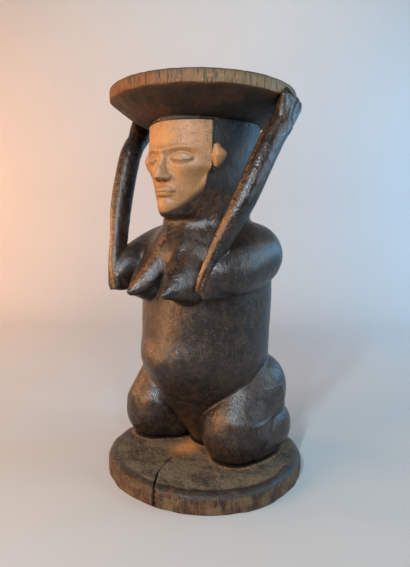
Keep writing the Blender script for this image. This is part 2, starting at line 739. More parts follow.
def forearm_stations(s, side):
    """From the cut end at the elbow to the wrist. The right elbow is cut broader and flat, and the left
    forearm starts nearer the middle and bows a little further."""
    block, near = (5, 0) if side == RIGHT else (0, 1)
    low_x = s.elbow_x - 3 + block - 5 * near
    elbow_x = s.elbow_x + 3 + 0.7 * block - 5 * near
    bow_x = s.forearm_x + 9 + 3 * near
    r = s.forearm_r
    return [
        [side * low_x, -s.elbow_out + 6, s.elbow_z - 6 + 8 * near, 5 + 0.6 * block, 7 + 0.6 * block, 2.8],
        [side * elbow_x, -s.elbow_out + 8, s.elbow_z + 20, 6.5 + 0.3 * block, 10, 2.8],
        [side * (s.forearm_x - 12 - 5 * near), -s.elbow_out + 21, s.elbow_z + 60, 9, 12.5, 2.6],
        [side * (s.forearm_x + near), -62 + near, s.elbow_z + 109, r - 1, r + 1, 2.4],
        [side * bow_x, -38 + 10 * near, SEAT.low - 58, r, r + 1, 2.3],
        wrist(s, side),
    ]


def forearm_form(s, side):
    """A blade at the elbow, narrow in front, that turns rounder towards the hand."""
    return limb(forearm_stations(s, side), (0, 1, 0), dome_start=3 if side == LEFT else 0.5)


# A finger: its tip's turn round the rim in degrees, its knuckle's place outwards and in depth, and the
# height of its tip on the rim. A gap between two fingers: its turn in degrees and its place in depth.
FINGERS = ((-2, 7, -13, 1), (5.5, 8, -4.5, 2), (14, 7.5, 5, 2), (22.5, 6, 15.5, 1))
FINGER_GAPS = ((1.7, -9), (9.7, 0), (18, 10))


def rim_spot(s, side, out, degrees, across=0):
    """A place at the rim, turned by some degrees from straight beside the figure."""
    turn = math.radians(degrees)
    return [side * (out * math.cos(turn) + side * across), SEAT.y - s.middle_y + out * math.sin(turn)]


def hand_forms(s, side):
    """Palm and four fingers that lie on the outside of the rim. Their tips follow the rim's curve."""
    heel = 0 if side == LEFT else -13
    out = SEAT.r + (2.5 if side == LEFT else -2)
    palm = limb([
        wrist(s, side),
        [side * (s.hand_x + 3), 1 + heel, SEAT.low - 14, s.hand_w - 1 + 2 * side, s.forearm_r - 4, 2.3],
        [side * (s.hand_x + 4), 14 + heel, SEAT.low + 1, s.hand_w - 1, 6, 2.4],
    ], (side, 0.3, 0), dome_end=2)
    fingers = []
    for k, (degrees, knuckle_x, knuckle_y, tip_z) in enumerate(FINGERS):
        tip = rim_spot(s, side, out, degrees, SEAT.x - s.middle_x)
        fingers.append(limb([
            [side * (s.hand_x + 3), -21 + 6 * k + heel, SEAT.low - 48, 4, 5, 2],
            [side * (s.hand_x + knuckle_x), knuckle_y + 0.6 * heel, SEAT.low - 21, 5.8, 5.4, 2.2],
            [*tip, SEAT.low - 3, 6.8, 4.4, 2.2],
            [*tip, SEAT.low + tip_z, 5.4, 3, 2.2],
        ], (side, 0.3, 0), dome_start=4, dome_end=2.5))
    return palm, *fingers


def thigh_forms(s, side):
    """Knee, hip, the limb between them and the inner side of the lap, which melt into one full form."""
    knee_r = s.knee_r - 2
    knee = ball(side * s.knee_x, -s.knee_out + 8, BASE.high + 38, knee_r, knee_r + 1, knee_r + 1, 2.1)
    hip = ball(side * s.hip_x, 38, s.hip_top_z - 50, 44, 47, 50, 2.1)
    middle = limb([
        [side * (s.hip_x + 1), 36, s.hip_top_z - 52, 42, 45, 2],
        [side * (s.hip_x + 2), 14, s.hip_top_z - 62, 42, 46, 2],
        [side * s.knee_x, -s.knee_out + 9, BASE.high + 40, knee_r - 1, knee_r - 2, 2.1],
    ], UP, dome_start=10, dome_end=10)
    inner = ball(side * (s.knee_x - 20), 12, BASE.high + 27, 33, 33, 36, 2.1)
    return knee, middle, hip, inner


def lower_leg_form(s, side):
    """Folded lower leg, from under the knee to the foot."""
    return limb([
        [side * (s.knee_x + 10), -2, BASE.high + 22, s.calf_r, s.calf_r - 2, 2.2],
        [side * (s.knee_x + 17), 26, BASE.high + 30, s.calf_r, s.calf_r + 3, 2.2],
        [side * (s.knee_x + 15), 56, BASE.high + 33, s.calf_r, s.calf_r + 3, 2.2],
        [side * s.knee_x, 84, BASE.high + 24, s.calf_r - 8, s.calf_r - 5, 2],
    ], UP, dome_start=12, dome_end=8, floor_z=FLOOR)


def foot_form(s, side):
    """Foot, turned in behind the figure."""
    return limb([
        [side * (s.knee_x - 16), 78, BASE.high + 18, 16, 19, 2],
        [side * (s.knee_x - 30), 96, BASE.high + 13, 19, 15, 2.2],
        [side * (s.knee_x - 42), s.foot_back, BASE.high + 7, 19, 9, 2.4],
    ], UP, dome_end=4, floor_z=FLOOR)


def rises(low, high, below, above):
    """A crease's softness that goes from below to above between two heights."""
    return lambda z: below + (above - below) * ramp(z, low, high)


def carve_figure(s):
    """The whole figure in one block, so that its forms run into each other as they do in one log."""
    step = 1.3
    clay = Clay(low=[-138, -132, 12], high=[130, 136, 486], step=step, reach=14)

    def place(form, legs=False):
        return moved(form, s.middle_x + (s.legs_x if legs else 0), s.middle_y)

    clay.add("head", place(head_form(s)))
    clay.carve(place(face_hollow(s)), 0.5)
    clay.add("torso", place(torso_form(s)), 2)
    clay.add("neck", place(neck_form(s)), 5)
    clay.add("face", place(face_form(s)), rises(s.chin_z + 20, s.chin_z + 50, 7, 0.6))
    for name, side in SIDES.items():
        arm = [place(form) for form in upper_arm_forms(s, side)]
        clay.add_melted(name + "_upper_arm", arm, 3, rises(s.shoulder_z - 66, s.shoulder_z - 26, 2, 16))
    for name, side in SIDES.items():
        breast = [place(form) for form in breast_forms(s, side)]
        clay.add_melted(name + "_breast", breast, 5, rises(s.breast_z + 6, s.breast_z + 60, 1.5, 7))
        clay.add(name + "_forearm", place(forearm_form(s, side)), 2)
        clay.add_melted(name + "_hand", [place(form) for form in hand_forms(s, side)], 0.8, 2)
        clay.add(name + "_ear", place(ear_form(s, side)), 0.6)
        clay.add_melted(name + "_thigh", [place(form, True) for form in thigh_forms(s, side)], 14, 2.5)
        clay.add(name + "_lower_leg", place(lower_leg_form(s, side), True), 2)
        clay.add(name + "_foot", place(foot_form(s, side), True), 4)
    return clay


# The carver's last work on the figure


def arm_line(s, side, across, forwards):
    """A line along the forearm, at a share of its half width and half depth."""
    return [[x + side * across * w, y - forwards * d, z] for x, y, z, w, d, _ in forearm_stations(s, side)]


def leg_line(s, side, path):
    """A line on a leg, given as points of the distance from the legs' middle, place in depth, height."""
    return [[s.legs_x + side * x, y, z] for x, y, z in path]


def grooves(s):
    """Cut lines, each with its width, depth and raised lip, in the figure's own place."""
    back = s.torso_back
    cleft = [[0, back + 3, 34], [0, back + 5, 62], [0, back + 3, 92], [0, back, 116]]
    spine = [[0, back, 130], [0, back, 190], [0, back + 2, 250], [0, back - 2, 300]]
    crease = [[108, 58, 95], [108, 15.6, 86], [107, -8, 80], [102, -24, 77]]
    lines = [(4.5, 4.0, 0.5, cleft), (7.0, 1.8, 0.0, spine)]
    for side in (LEFT, RIGHT):
        lines.append((2.2, 1.3, 0.12, leg_line(s, side, crease)))
        lines.append((1.5, 1.5, 0.2, arm_line(s, side, 1.15, 0.75)[:3]))
        for gap, (degrees, knuckle_y) in enumerate(FINGER_GAPS):
            tip = rim_spot(s, side, SEAT.r + 4, degrees)
            lines.append((1.3, 1.4, 0.0, [
                [side * (s.hand_x + 12), -19 + 7 * gap, SEAT.low - 50],
                [side * (s.hand_x + 14), knuckle_y, SEAT.low - 22],
                [*tip, SEAT.low - 4],
                [*tip, SEAT.low + 5],
            ]))
        for toe in range(4):
            x = s.knee_x - 33 - 7.5 * toe
            path = [[x, s.foot_back - 12, 40], [x, s.foot_back - 2, 36], [x, s.foot_back + 4, 28]]
            lines.append((1.1, 1.3, 0.2, leg_line(s, side, path)))
    return lines


def rubbed_lines(s):
    """Rubbed places, each with its width and strength, in the figure's own place."""
    lines = [
        (9, 0.55, [[24, -89, 216], [1, -92, 182], [-22, -89, 146]]),
        (20, 0.5, [[-56, -64, 236], [-58, -66, 190], [-46, -74, 150]]),
        (16, 0.3, [[-30, -80, 226], [-40, -80, 180]]),
    ]
    for side in (LEFT, RIGHT):
        arm_w, arm_rub, arm_across, ridge_rub = (4.5, 1.4, -0.3, 0.7) if side == LEFT else (5.5, 1.1, 0, 1.3)
        foot_of_neck = [side * 12, -s.neck_r - 4, s.shoulder_z - 12]
        tip = [side * s.breast_x, -s.breast_out, s.breast_z]
        under_tip = [side * s.breast_x, -s.breast_out + 2, s.breast_z - 3]
        first_finger = [
            [side * (s.hand_x + 6), -22, SEAT.low - 42],
            [side * (s.hand_x + 10), -10, SEAT.low - 16],
            [side * (SEAT.r - 2), -6, SEAT.low + 4],
        ]
        lines += [
            (arm_w, arm_rub, arm_line(s, side, arm_across, 1)),
            (4.0, 0.5, arm_line(s, side, -1, 0.3)),
            (9, ridge_rub, [foot_of_neck, tip]),
            (4, 1.0, first_finger),
            (5, 1.0, [tip, under_tip]),
            (10, 0.6, leg_line(s, side, [[56, -44, 98], [46, -43, 78], [44, -38, 55]])),
            (6, 0.4, leg_line(s, side, [[60, -46, 34], [72, -36, 31], [88, -20, 30]])),
        ]
    return lines


def polished_lines(s):
    """Places that hands have polished, each with its width and strength, in the figure's own place."""
    lines = []
    for side in (LEFT, RIGHT):
        lines += [
            (9, 1.0, arm_line(s, side, 0.6, 0.7)),
            (15, 0.7, leg_line(s, side, [[50, -44, 92], [66, -50, 78], [82, -46, 62]])),
        ]
    return lines


# The marks of a tool: how many, their length, width and depth in millimetres, a seed, and where it
# matters the axis that they follow.
BODY_GOUGE = (1500, 8, 4.5, 0.34, 1)
HAIR_GOUGE = (260, 13, 6, 0.4, 2)
FACE_KNIFE = (150, 6, 3, 0.14, 3)
HATCH_DEEP = 0.3
NECK_HATCH = (420, 8, 1.5, HATCH_DEEP, 4, (0.45, 0.4, 0.8))
BASE_SIDE_KNIFE = (700, 9, 2.2, 0.3, 31)
BASE_TOP_ADZE = (500, 9, 4.5, 0.35, 32, (0.3, 1, 0))
RIM_KNIFE = (420, 8, 2.5, 0.3, 41)
SEAT_TOP_ADZE = (420, 11, 6, 0.35, 42, (0.4, 1, 0))
BOWL_ADZE = (520, 13, 7, 0.7, 51, (0.5, 1, 0))


def ear_pits(s, points):
    """The pit in the middle of each ear, 1 at its deepest."""
    own = own_place(s, points).T
    pits = np.zeros(len(points))
    for side in (LEFT, RIGHT):
        middle = [side * (head_side(s, s.temple_y - 7) + 4), -s.temple_y + 8, face_heights(s)[1] + 10]
        pits = np.maximum(pits, hill(np.linalg.norm(own - middle, axis=1), 0, 4.5))
    return pits


def finish_carving(s, clay, surface):
    """Tool marks, cut lines and the numbers that the finish reads at each point."""
    place = np.array([s.middle_x, s.middle_y, 0])
    points = surface.points
    normals = surface.normals()
    x, y, z = own_place(s, points)
    pale = face_mask(s, points)
    for name in SIDES:
        pale = np.maximum(pale, ramp(part_distance(clay, name + "_ear", points), 1.4, 0.5))
    head = np.clip(1.5 - np.abs(part_distance(clay, "head", points)), 0, 1)
    hair = head * ramp(z, s.nape_z - 7, s.nape_z + 5) * (1 - pale)
    neck = (z < s.nape_z + 2) & (z > s.shoulder_z + 2) & (np.hypot(x, y) < s.neck_r + 16) & (pale < 0.3)
    plain = (pale < 0.2) & (hair < 0.2)
    cut = tool_marks(points, normals, plain, *BODY_GOUGE)
    cut += tool_marks(points, normals, hair > 0.8, *HAIR_GOUGE)
    cut += tool_marks(points, normals, pale > 0.8, *FACE_KNIFE)
    strokes = tool_marks(points, normals, neck, *NECK_HATCH)
    lines, dark = face_lines(s, points)
    pits = ear_pits(s, points)
    surface.points = points - normals * ((cut + strokes + lines + 1.8 * pits) * MM)[:, None]
    for width, depth, lip, path in grooves(s):
        groove(surface, np.array(path) + place, width, depth, lip)
    normals = surface.normals()
    return normals, {
        "polish": wear(surface.points, polished_lines(s), place),
        "edge": surface.ridges(6),
        "swell": surface.ridges(40),
        "hollow": closeness(clay, surface.points, normals),
        "worn": wear(surface.points, rubbed_lines(s), place),
        "pale": pale,
        "hair": hair,
        "line": np.maximum(dark, 0.3 * pits),
        "hatch": strokes / HATCH_DEEP,
    }


# Cutting the carved surface into the stool's named pieces


def piece_numbers(clay, surface, names):
    """For each face, the number of the part whose own form lies nearest."""
    centres = surface.points[surface.faces].mean(1)
    nearest = np.full(len(centres), np.inf)
    number = np.zeros(len(centres), int)
    for k, name in enumerate(names):
        distance = part_distance(clay, name, centres)
        closer = distance < nearest
        nearest[closer] = distance[closer]
        number[closer] = k
    return number


def on_face(s, points):
    """Which points lie on the face: before the temples, over the jaw and under the hairline."""
    hairline, _ = face_heights(s)
    _, y, z = own_place(s, points)
    h = (z - s.chin_z) / (hairline - s.chin_z)
    edge = s.temple_y + JAW_STEP * ramp(h, 0.5, 0.0)
    return (y < -edge) & (z < hairline + 0.5) & (z > s.chin_z - 5)


def tidy_numbers(surface, number, times=12):
    """Straightens the seams and gives small islands to the part round them."""
    count = number.max() + 1
    for _ in range(times):
        votes = np.zeros((len(surface.points), count), np.float32)
        for corner in surface.faces.T:
            np.add.at(votes, (corner, number), 1)
        number = sum(votes[corner] for corner in surface.faces.T).argmax(1)
    return number


def numbered_faces(s, clay, surface, names):
    """For each face of the figure, the number of its piece. Head and neck give way to the face in front
    of the temples, and take over behind them."""
    number = piece_numbers(clay, surface, names)
    head, neck, face = (names.index(name) for name in ("head", "neck", "face"))
    centres = surface.points[surface.faces].mean(1)
    in_front = on_face(s, centres)
    high = centres[:, 2] > s.nape_z * MM
    number[in_front & ((number == head) | (number == neck))] = face
    behind = ~in_front & (number == face)
    number[behind & high] = head
    number[behind & ~high] = neck
    return tidy_numbers(surface, number)


def loops_of(edges):
    """Closed loops of directed edges."""
    following = {}
    for a, b in edges:
        following.setdefault(int(a), []).append(int(b))
    loops = []
    while following:
        start = next(iter(following))
        loop = [start]
        here = start
        while True:
            options = following[here]
            here = options.pop()
            if not options:
                del following[loop[-1]]
            if here == start:
                break
            loop.append(here)
        loops.append(loop)
    return loops


def cut_out(surface, normals, chosen, depth=0.012):
    """A closed piece from some faces of the surface: points, faces, normals, end faces and point numbers.
    Its open ends are closed by shallow cones that go in by up to depth, in metres."""
    faces = surface.faces[chosen]
    used, inverse = np.unique(faces, return_inverse=True)
    faces = inverse.reshape(faces.shape)
    points = surface.points[used]
    n = normals[used]
    nxt = np.roll(faces, -1, axis=1)
    a, b = faces.ravel(), nxt.ravel()
    key, back = a * len(points) + b, b * len(points) + a
    open_edges = ~np.isin(key, back)
    caps, extra = [], []
    for loop in loops_of(np.stack([a[open_edges], b[open_edges]], -1)):
        deep = min(depth, np.ptp(points[loop], axis=0).max() * 0.3)
        inner = points[loop].mean(0) - unit(n[loop].mean(0)) * deep
        centre = len(points) + len(extra)
        extra.append(inner)
        caps += [(loop[(i + 1) % len(loop)], loop[i], centre) for i in range(len(loop))]
    if extra:
        points = np.concatenate([points, extra])
    return points, faces, n, np.array(caps, int).reshape(-1, 3), used


def build_mesh(name, points, faces, caps=None, normals=None, marks=None):
    """A mesh object. Caps are the triangles that close its open ends, and marks are the numbers at the
    points that its finish reads, by name."""
    caps = np.zeros((0, 3), int) if caps is None else caps
    me = bpy.data.meshes.new(name)
    me.vertices.add(len(points))
    me.vertices.foreach_set("co", points.astype(np.float32).ravel())
    corners = np.concatenate([faces.ravel(), caps.ravel()])
    me.loops.add(len(corners))
    me.loops.foreach_set("vertex_index", corners.astype(np.int32))
    sizes = np.r_[np.full(len(faces), faces.shape[1]), np.full(len(caps), 3)]
    me.polygons.add(len(sizes))
    me.polygons.foreach_set("loop_start", np.r_[0, np.cumsum(sizes)[:-1]].astype(np.int32))
    me.update(calc_edges=True)
    me.validate()
    me.shade_smooth()
    for mark, values in (marks or {}).items():
        layer = me.attributes.new(mark, "FLOAT", "POINT")
        full = np.zeros(len(points), np.float32)
        full[: len(values)] = values
        layer.data.foreach_set("value", full)
    if normals is not None:
        flat = np.zeros((len(points), 3))
        flat[: len(normals)] = normals
        corner_normals = flat[corners]
        cap_n = np.cross(points[caps[:, 1]] - points[caps[:, 0]], points[caps[:, 2]] - points[caps[:, 0]])
        corner_normals[faces.size:] = np.repeat(unit(cap_n), 3, axis=0)
        me.normals_split_custom_set(corner_normals.tolist())
    ob = bpy.data.objects.new(name, me)
    bpy.context.scene.collection.objects.link(ob)
    return ob


def stand_for(ob, node, finish):
    """Puts a finished piece in the place of a node of the frame."""
    slot = next(p["material_slot"] for p in frame["record"]["subparts"] if p["node"] == node)
    name = "carved_" + ("underside_wood" if finish is bowl_finish else slot)
    wood = bpy.context.scene.stool_wood
    colours = SimpleNamespace(**{key: tuple(getattr(wood, key)) for key in WoodColours.__annotations__})
    ob.data.materials.append(bpy.data.materials.get(name) or finish(name, colours))
    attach(ob, "root")
    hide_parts(node)


# Base and seat, cut round by hand from the two ends of the log


def round_about(x, y, r, turn, z):
    """Points at distances r and directions turn from an upright line, at heights z."""
    return np.stack([x + r * np.cos(turn), y + r * np.sin(turn), z], -1)


def wheel(rings, low_pole, high_pole, marks):
    """Closed surface over profiles that all run from a point below to a point above, and its marks,
    which are 0 at those two points."""
    m, n = rings.shape[:2]
    i, j = np.meshgrid(np.arange(m), np.arange(n - 1), indexing="ij")
    k = (i + 1) % m
    quads = np.stack([i * n + j, k * n + j, k * n + j + 1, i * n + j + 1], -1).reshape(-1, 4)
    points = np.concatenate([rings.reshape(-1, 3), [low_pole], [high_pole]]) * MM
    a = np.arange(m)
    b = (a + 1) % m
    first = np.stack([np.full(m, m * n), b * n, a * n], -1)
    final = np.stack([np.full(m, m * n + 1), a * n + n - 1, b * n + n - 1], -1)
    form = points, quads, np.concatenate([first, final])
    return form, {name: np.r_[values.ravel(), 0, 0] for name, values in marks.items()}


def turn_between(a, b):
    """The shorter turn from angle b to angle a."""
    return (a - b + math.pi) % (2 * math.pi) - math.pi


def wobble(angles, seed, turns, size):
    """Unevenness round a rim: waves that go round the given numbers of times."""
    rng = np.random.default_rng(seed)
    waves = [rng.uniform(0.5, 1) * np.sin(k * angles + rng.uniform(0, 2 * math.pi)) for k in turns]
    return size * sum(waves) / len(turns)


def flats(angles, seed, count, size):
    """Flat cuts of a knife round a rim: how far each goes in."""
    rng = np.random.default_rng(seed)
    cut = np.zeros_like(angles)
    for middle in rng.uniform(0, 2 * math.pi, count):
        half = rng.uniform(0.5, 1.2) * math.pi / count
        share = turn_between(angles, middle) / half
        cut = np.maximum(cut, rng.uniform(0.3, 1) * np.clip(1 - share**2, 0, None))
    return size * cut


def table(rows, angles):
    """Spreads rows of radius, height and marks over the angles."""
    return [np.stack([np.broadcast_to(row[k], angles.shape) for row in rows], 1) for k in range(len(rows[0]))]


# The drying crack: distances from the base's middle and directions in degrees, and then its width and
# depth at some distances, as shares of those at the rim.
CRACK = ((57, -100.5), (66, -97), (79, -92.5), (98, -88.3), (112, -84), (121, -81.6), (137, -78))
CRACK_START = CRACK[0][0]
CRACK_END = CRACK[-1][0]
CRACK_WIDTHS = ((57, 70, 100, 134), (0.0, 0.28, 0.55, 1.0))
CRACK_DEPTHS = ((57, 75, 110, 134), (0.05, 0.25, 0.6, 1.0))
CRACK_BEND = math.radians(26)  # how far to both sides the surface turns with the crack
CRACK_ZONE = 9  # degrees to both sides of the crack where the base's mesh is fine


def crack_angle(r):
    """Direction of the drying crack, in radians, at a distance from the base's middle."""
    distances, degrees = np.array(CRACK).T
    return np.radians(np.interp(r, distances, degrees))


def base_rows(s, a):
    """The base's outline without its crack: radius, height, and the marks of its side and bevel."""
    swelling = s.bulge * np.clip(np.cos(2 * (a + math.pi / 4)), 0, None) * (np.cos(a + math.pi / 4) > 0)
    edge = BASE.r - 1 + swelling + wobble(a, 3, (3, 5, 9, 14, 23), 0.8) - flats(a, 5, 26, 1.0)
    edge = np.minimum(edge, BASE.r / np.maximum(np.abs(np.cos(a)), np.abs(np.sin(a))) - 0.2)
    bevel_w = s.bevel_w + wobble(a, 11, (4, 7, 13, 19), 2.4) + flats(a, 17, 30, 2.5)
    bevel_h = s.bevel_h + wobble(a, 13, (5, 8, 17), 1.0)
    rows = [(t * (edge - 1.2), 0, 0, 0) for t in np.linspace(0.1, 1, 6)]
    rows.append((edge - 0.3, 0.5, 1, 0))
    rows += [(edge, 1.2 + t * (BASE.high - bevel_h - 2.2), 1, 0) for t in np.linspace(0, 1, 14)]
    for t in np.linspace(0.12, 1, 9):
        lean = t**1.3
        rise = math.sin(t * math.pi / 2)
        rows.append((edge - bevel_w * lean, BASE.high - bevel_h * (1 - rise), 1 - t, 1))
    inner = edge - bevel_w
    for t in np.linspace(0, 1, 40)[1:-1]:
        rows.append((inner * (1 - t), BASE.high - 0.6 * math.sin(t * 3) ** 2, 0, 0))
    return table(rows, a)


def base_form(s):
    """The base with its crack, and the marks that its finish reads."""
    count = 1
    start = float(crack_angle(CRACK_END))
    fine = start + np.radians(np.linspace(-CRACK_ZONE, CRACK_ZONE, 150 // count))
    rest = np.linspace(fine[-1], fine[0] + 2 * math.pi, 430 // count)[1:-1]
    a = np.concatenate([fine, rest])
    r, z, side, bevel = base_rows(s, a)
    turn = a[:, None]
    away = turn_between(turn, start)
    bend = crack_angle(np.clip(r, CRACK_START, CRACK_END)) - start
    angle = turn + bend * hill(away, 0, CRACK_BEND) * (z > 1)
    offset = away * r + 0.5 * np.sin(z * 0.9) + 0.35 * np.sin(r * 0.75)
    width = s.crack_w / 2 * np.interp(r, *CRACK_WIDTHS) * np.interp(z, (0, 12), (0.75, 1))
    cleft = np.clip(1 - (offset / np.maximum(width, 0.05)) ** 2, 0, 1) ** 0.4 * (width > 0.02)
    lip = hill(np.abs(offset) - width, 0.8, 1.0) * (width > 0.1)
    deep = s.crack_deep * np.interp(r, *CRACK_DEPTHS)
    on_top = np.clip((z - (BASE.high - 7)) / 5, 0, 1)
    z = z - (cleft * deep * 0.7 + 0.35 * lip) * on_top
    r = r - cleft * deep * np.clip(side + 0.3 * bevel, 0, 1) - 0.5 * lip * side
    rings = round_about(0, 0, r, angle, z)
    warm = hill(rings[..., 0], -15, 17) * hill(rings[..., 1], -20, 24) * on_top
    marks = {"side": side, "bevel": bevel, "cleft": np.maximum(cleft, 0.3 * lip), "warm": warm}
    return wheel(rings, [0, 0, 0], [0, 0, BASE.high - 0.3], marks)


def rim_edge(s, a):
    """Height of the rim's lower edge, which is cut by hand and thinner on one side."""
    thin = s.thin_side * hill(turn_between(a, math.radians(215)), 0, 0.75)
    return SEAT.low + 0.4 + thin + wobble(a, 21, (3, 7, 11, 17), s.edge_wave) - flats(a, 23, 21, 1.4)


def rim_reach(a):
    """How far the rim stands out, which is a little uneven."""
    return SEAT.r - 0.5 + wobble(a, 25, (2, 5, 9, 16), 0.35)


# A crack of the rim: direction in degrees, width in millimetres and share of the rim's height.
RIM_CRACKS = ((-83.6, 0.5, 1), (-75.5, 0.6, 0.6), (-54, 0.4, 0.4), (20, 0.5, 1), (148, 0.6, 1))


def seat_form(s):
    """The seat's top and rim, and the marks that its finish reads."""
    a = full_turn(560)
    edge = rim_edge(s, a)
    reach = rim_reach(a)
    high = SEAT.high
    soft = s.round_edge
    rows = [(reach - 14, edge + 4, 0, 0), (reach - 3, edge + 2, 0, 0), (reach - 0.8, edge + 0.2, 1, 0)]
    for t in np.linspace(0, 1, 11):
        rows.append((reach - 0.5 * (1 - t) ** 3, edge + 0.8 + t * (high - soft - edge - 0.8), 1, 0.4 * t**4))
    for t in np.linspace(0.15, 1, 7):
        turn = t * math.pi / 2
        inwards = soft * (1 - math.cos(turn))
        lower = soft * (1 - math.sin(turn))
        rows.append((reach - inwards, high - lower, 1 - t, 1 - 0.5 * t))
    for t in np.linspace(0, 1, 34)[1:-1]:
        hollow = s.dish * math.sin(min(t * 4, 1) * math.pi / 2) ** 2
        rows.append(((reach - soft) * (1 - t), high - hollow, 0, max(0.4 - 8 * t, 0)))
    r, z, side, worn = table(rows, a)
    turn = a[:, None]
    cleft = np.zeros_like(r)
    for degrees, width, share in RIM_CRACKS:
        offset = turn_between(turn, math.radians(degrees)) * SEAT.r + 0.4 * np.sin(z * 0.8 + degrees)
        down = ramp(z, high - 16 * share - 3, high - 16 * share) if share < 1 else 1
        cleft = np.maximum(cleft, np.clip(1 - (offset / width / 1.6) ** 2, 0, 1) * down * side)
    rings = round_about(SEAT.x, SEAT.y, r - 1.2 * cleft, turn, z)
    weather = (0.5 + 0.5 * np.cos(turn - math.radians(5))) ** 2.5 + 0 * r
    marks = {"side": side, "worn": worn, "cleft": cleft, "weather": weather}
    return wheel(rings, [SEAT.x, SEAT.y, SEAT.low + 6], [SEAT.x, SEAT.y, high - s.dish], marks)


def bowl_form(s):
    """The shallow bowl under the rim, and the mark of its outer edge."""
    a = full_turn(480)
    edge = rim_edge(s, a)
    reach = rim_reach(a) - 0.7
    rows = [(s.flat_r * t, BOWL.low, 0) for t in np.linspace(0.08, 0.96, 8)]
    for t in np.linspace(0, 1, 44):
        rise = t**1.15 - 0.03 * math.sin(t * math.pi)
        rows.append((s.flat_r + (reach - s.flat_r) * t, BOWL.low + (edge - BOWL.low) * rise, t**12))
    rows += [(reach - 1.5, edge + 2.2, 1), (reach - 12, edge + 5, 0)]
    r, z, worn = table(rows, a)
    rings = round_about(SEAT.x, SEAT.y, r, a[:, None], z)
    return wheel(rings, [SEAT.x, SEAT.y, BOWL.low], [SEAT.x, SEAT.y, SEAT.low + 7], {"worn": worn})


# Finishes


class Level:
    """A number that varies over the surface. Sums with it add their Math nodes."""

    def __init__(self, finish, socket):
        self.finish = finish
        self.socket = socket

    def worked(self, operation, *values, clamp=False):
        """The result of a Math node."""
        settings = {"operation": operation, "use_clamp": clamp}
        node = self.finish.node("ShaderNodeMath", settings, dict(enumerate(values)))
        return Level(self.finish, node.outputs[0])

    def __add__(self, other):
        return self.worked("ADD", self, other)

    def __sub__(self, other):
        return self.worked("SUBTRACT", self, other)

    def __rsub__(self, other):
        return self.worked("SUBTRACT", other, self)

    def __mul__(self, other):
        return self.worked("MULTIPLY", self, other)

    __radd__ = __add__
    __rmul__ = __mul__

    def held(self):
        """The number, held between 0 and 1."""
        return self.worked("ADD", self, 0.0, clamp=True)

    def rise(self, low, high):
        """Rises smoothly from 0 at low to 1 at high."""
        settings = {"interpolation_type": "SMOOTHSTEP"}
        inputs = {"Value": self, "From Min": low, "From Max": high}
        node = self.finish.node("ShaderNodeMapRange", settings, inputs)
        return Level(self.finish, node.outputs[0])


class Finish:
    """A material and the nodes that it is made of."""

    def __init__(self, name):
        self.material = bpy.data.materials.new(name)
        self.material.use_nodes = True
        self.nodes = self.material.node_tree.nodes
        self.shader = self.nodes["Principled BSDF"]
        self.place = self.node("ShaderNodeTexCoord").outputs["Object"]

    def node(self, kind, settings=None, inputs=None):
        """Adds a node: its settings first, then the values or links of its sockets."""
        node = self.nodes.new(kind)
        for key, value in (settings or {}).items():
            setattr(node, key, value)
        for key, value in (inputs or {}).items():
            self.join(value, node.inputs[key])
        return node

    def join(self, value, socket):
        """Gives a socket a value, or a link where the value comes from another node."""
        if isinstance(value, Level):
            value = value.socket
        if isinstance(value, bpy.types.NodeSocket):
            self.material.node_tree.links.new(value, socket)
        else:
            socket.default_value = value

    def mark(self, name):
        """One of the numbers that the carving left at the mesh's points."""
        return Level(self, self.node("ShaderNodeAttribute", {"attribute_name": name}).outputs["Fac"])

    def grain(self, size, detail=3.0, coarse=0.5, turn=(0, 0, 0), place=(0, 0, 0)):
        """Noise about 0.5, with spots of a size in millimetres, or one size for each axis."""
        scale = tuple(1 / (v * MM) for v in ((size,) * 3 if np.isscalar(size) else size))
        start = self.place
        if any(turn):
            start = self.node("ShaderNodeMapping", {}, {"Vector": start, "Rotation": turn}).outputs[0]
        spread = self.node("ShaderNodeMapping", {}, {"Vector": start, "Scale": scale, "Location": place})
        inputs = {"Vector": spread.outputs[0], "Scale": 1.0, "Detail": detail, "Roughness": coarse}
        return Level(self, self.node("ShaderNodeTexNoise", {}, inputs).outputs["Fac"])

    def blend(self, amount, first, second):
        """A colour that goes from the first to the second as the amount rises, held between 0 and 1."""
        first, second = ((*c, 1.0) if isinstance(c, tuple) else c for c in (first, second))
        settings = {"data_type": "RGBA", "clamp_factor": True}
        node = self.node("ShaderNodeMix", settings, {0: amount, 6: first, 7: second})
        return node.outputs[2]

    def bumped(self, *layers):
        """A bumped normal from pairs of a height and its depth in millimetres."""
        normal = None
        for height, depth in layers:
            inputs = {"Height": height, "Distance": depth * MM, "Strength": 1.0}
            if normal is not None:
                inputs["Normal"] = normal
            normal = self.node("ShaderNodeBump", {}, inputs).outputs[0]
        return normal

    def done(self, colour, rough, normal, **constants):
        """The material, once its shader has its colour, roughness, normal and constants."""
        self.join(colour, self.shader.inputs["Base Color"])
        self.join(rough, self.shader.inputs["Roughness"])
        self.join(normal, self.shader.inputs["Normal"])
        for name, value in constants.items():
            self.shader.inputs[name.replace("_", " ")].default_value = value
        return self.material


